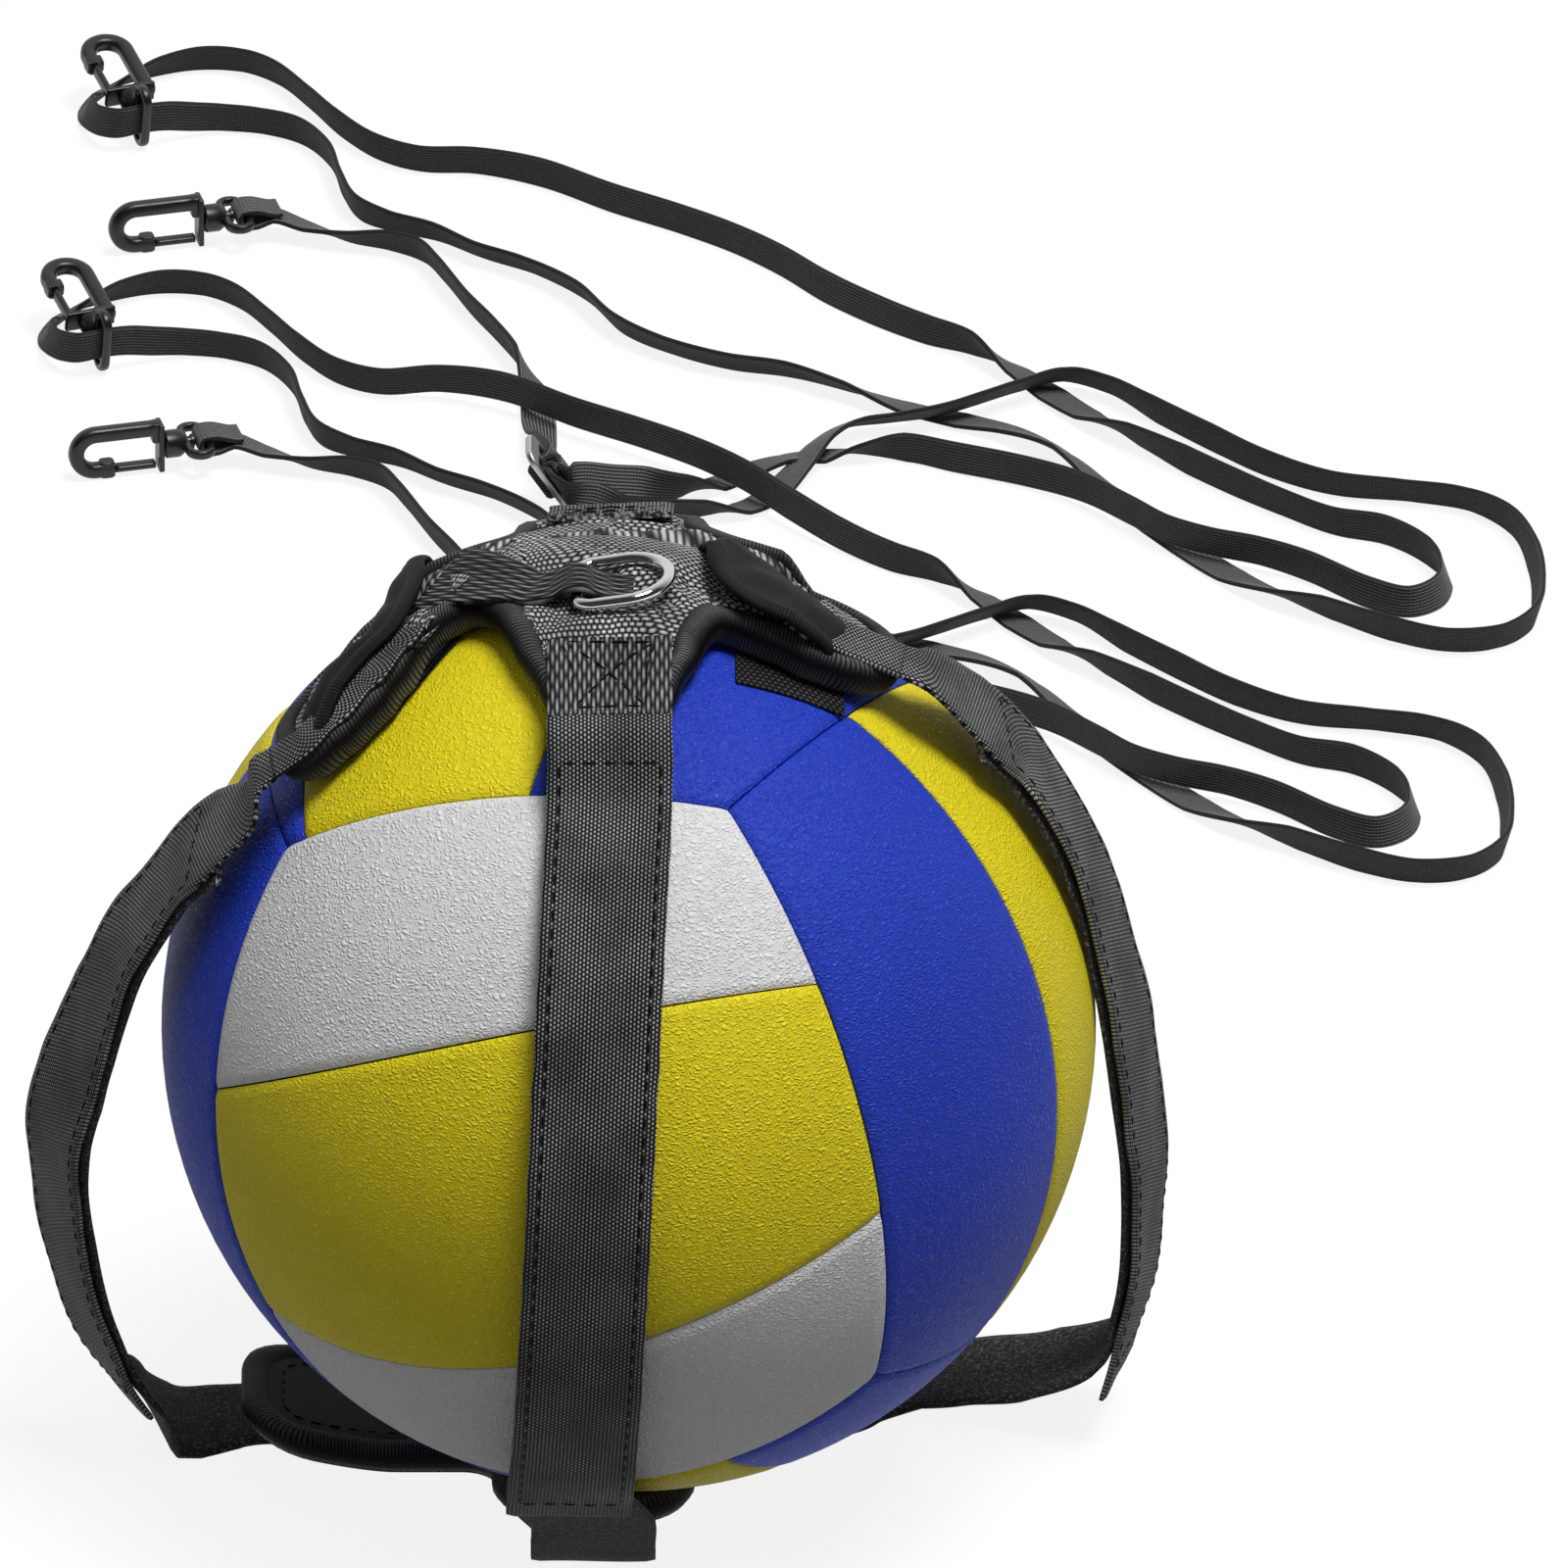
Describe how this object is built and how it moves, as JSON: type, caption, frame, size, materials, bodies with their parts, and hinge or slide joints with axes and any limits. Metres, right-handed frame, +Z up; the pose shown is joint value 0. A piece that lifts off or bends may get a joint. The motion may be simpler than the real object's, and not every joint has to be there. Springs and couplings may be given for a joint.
{
  "type": "volleyball spike trainer",
  "caption": "Panelled ball held in a padded cross harness of webbing straps with a D-ring on top, with looped elastic straps that end in swivel snap hooks.",
  "frame": {"origin": "on the floor, straight below the centre of the ball, on the underside of the base strap", "axes": "+Z up; -Y towards the front strap; +X to the right seen from the front; the elastic straps lie towards +Y"},
  "size_m": [0.3494, 0.7943, 0.2328],
  "materials": {
    "leather_white": "grained synthetic leather, satin",
    "leather_yellow": "grained synthetic leather, satin",
    "leather_blue": "grained synthetic leather, satin",
    "thread_wrap": "wound thread, dull",
    "bladder_rubber": "moulded rubber, dull",
    "nylon_cloth": "coarse woven nylon, dull",
    "nylon_webbing": "woven webbing, slight sheen",
    "lining_cloth": "smooth nylon lining",
    "foam": "closed-cell foam",
    "binding_tape": "ribbed tape",
    "elastic_webbing": "ribbed elastic, dull",
    "hook_plastic": "moulded, glossy",
    "plated_steel": "satin, bright edges",
    "chromed_steel": "polished"
  },
  "bodies": {
    "trainer": {"panel_front_1": "leather_white", "panel_front_2": "leather_yellow", "panel_front_3": "leather_white", "panel_right_1": "leather_blue", "panel_right_2": "leather_yellow", "panel_right_3": "leather_blue", "panel_top_1": "leather_blue", "panel_top_2": "leather_yellow", "panel_top_3": "leather_blue", "panel_left_1": "leather_blue", "panel_left_2": "leather_yellow", "panel_left_3": "leather_blue", "panel_back_1": "leather_white", "panel_back_2": "leather_yellow", "panel_back_3": "leather_white", "panel_base_1": "leather_blue", "panel_base_2": "leather_yellow", "panel_base_3": "leather_blue", "ball_carcass": "thread_wrap", "ball_bladder": "bladder_rubber", "ball_valve": "bladder_rubber", "top_pad_lining": "lining_cloth", "top_pad_foam": "foam", "top_pad_cover": "nylon_cloth", "top_pad_binding": "binding_tape", "base_pad_cover": "nylon_cloth", "base_pad_foam": "foam", "base_pad_lining": "lining_cloth", "base_pad_binding": "binding_tape", "front_strap_root": "nylon_webbing", "back_strap_root": "nylon_webbing", "left_strap_root": "nylon_webbing", "right_strap_root": "nylon_webbing", "left_inner_strap": "nylon_webbing", "right_inner_strap": "nylon_webbing", "front_back_inner_strap": "nylon_webbing", "ring_tunnel": "nylon_webbing", "far_elastic_band": "elastic_webbing", "far_slider": "plated_steel", "far_end_hook_eye": "hook_plastic", "far_loop_hook_eye": "hook_plastic", "near_elastic_band": "elastic_webbing", "near_slider": "plated_steel", "near_end_hook_eye": "hook_plastic", "near_loop_hook_eye": "hook_plastic"},
    "d_ring": {"d_ring": "chromed_steel"},
    "front_strap_flap": {"front_strap_flap": "nylon_webbing"},
    "back_strap_flap": {"back_strap_flap": "nylon_webbing"},
    "left_strap_flap": {"left_strap_flap": "nylon_webbing"},
    "right_strap_flap": {"right_strap_flap": "nylon_webbing"},
    "far_end_hook": {"far_end_hook_body": "hook_plastic"},
    "far_end_hook_gate": {"far_end_hook_gate": "hook_plastic"},
    "far_loop_hook": {"far_loop_hook_body": "hook_plastic"},
    "far_loop_hook_gate": {"far_loop_hook_gate": "hook_plastic"},
    "near_end_hook": {"near_end_hook_body": "hook_plastic"},
    "near_end_hook_gate": {"near_end_hook_gate": "hook_plastic"},
    "near_loop_hook": {"near_loop_hook_body": "hook_plastic"},
    "near_loop_hook_gate": {"near_loop_hook_gate": "hook_plastic"}
  },
  "joints": [
    {"name": "d_ring_flip", "type": "hinge", "parent": "trainer", "child": "d_ring", "pos_m": [-0.01147, -0.0073, 0.228], "axis": [0, -1, 0], "range_deg": [0, 150]},
    {"name": "front_strap_peel", "type": "hinge", "parent": "trainer", "child": "front_strap_flap", "pos_m": [-0.00402, -0.04943, 0.21687], "axis": [-0.9994, 0.0103, -0.0337], "range_deg": [0, 80]},
    {"name": "back_strap_peel", "type": "hinge", "parent": "trainer", "child": "back_strap_flap", "pos_m": [-0.00394, 0.07005, 0.20652], "axis": [0.9993, 0.015, 0.0332], "range_deg": [0, 80]},
    {"name": "left_strap_peel", "type": "hinge", "parent": "trainer", "child": "left_strap_flap", "pos_m": [-0.07985, -0.02682, 0.19301], "axis": [-0.1199, 0.9702, 0.2105], "range_deg": [0, 80]},
    {"name": "right_strap_peel", "type": "hinge", "parent": "trainer", "child": "right_strap_flap", "pos_m": [0.06206, -0.01205, 0.21123], "axis": [-0.088, -0.9929, -0.0806], "range_deg": [0, 80]},
    {"name": "far_end_hook_swivel", "type": "hinge", "parent": "trainer", "child": "far_end_hook", "pos_m": [-0.093, 0.5974, 0.0066], "axis": [-0.9695, -0.2451, 0], "continuous": true},
    {"name": "far_end_hook_gate_hinge", "type": "hinge", "parent": "far_end_hook", "child": "far_end_hook_gate", "pos_m": [-0.10308, 0.59485, 0.002], "axis": [-0.2451, 0.9695, 0], "range_deg": [0, 22], "stiffness_Nm_per_rad": 0.05},
    {"name": "far_loop_hook_swivel", "type": "hinge", "parent": "trainer", "child": "far_loop_hook", "pos_m": [-0.115, 0.644, 0.0085], "axis": [-0.3444, 0.918, 0.1968], "continuous": true},
    {"name": "far_loop_hook_gate_hinge", "type": "hinge", "parent": "far_loop_hook", "child": "far_loop_hook_gate", "pos_m": [-0.12289, 0.65193, 0.01055], "axis": [-0.0691, 0.1842, -0.9804], "range_deg": [0, 22], "stiffness_Nm_per_rad": 0.05},
    {"name": "near_end_hook_swivel", "type": "hinge", "parent": "trainer", "child": "near_end_hook", "pos_m": [-0.1013, 0.4844, 0.0066], "axis": [-0.9695, -0.2451, 0], "continuous": true},
    {"name": "near_end_hook_gate_hinge", "type": "hinge", "parent": "near_end_hook", "child": "near_end_hook_gate", "pos_m": [-0.11138, 0.48185, 0.002], "axis": [-0.2451, 0.9695, 0], "range_deg": [0, 22], "stiffness_Nm_per_rad": 0.05},
    {"name": "near_loop_hook_swivel", "type": "hinge", "parent": "trainer", "child": "near_loop_hook", "pos_m": [-0.1233, 0.531, 0.0085], "axis": [-0.3444, 0.918, 0.1968], "continuous": true},
    {"name": "near_loop_hook_gate_hinge", "type": "hinge", "parent": "near_loop_hook", "child": "near_loop_hook_gate", "pos_m": [-0.13119, 0.53893, 0.01055], "axis": [-0.0691, 0.1842, -0.9804], "range_deg": [0, 22], "stiffness_Nm_per_rad": 0.05}
  ]
}
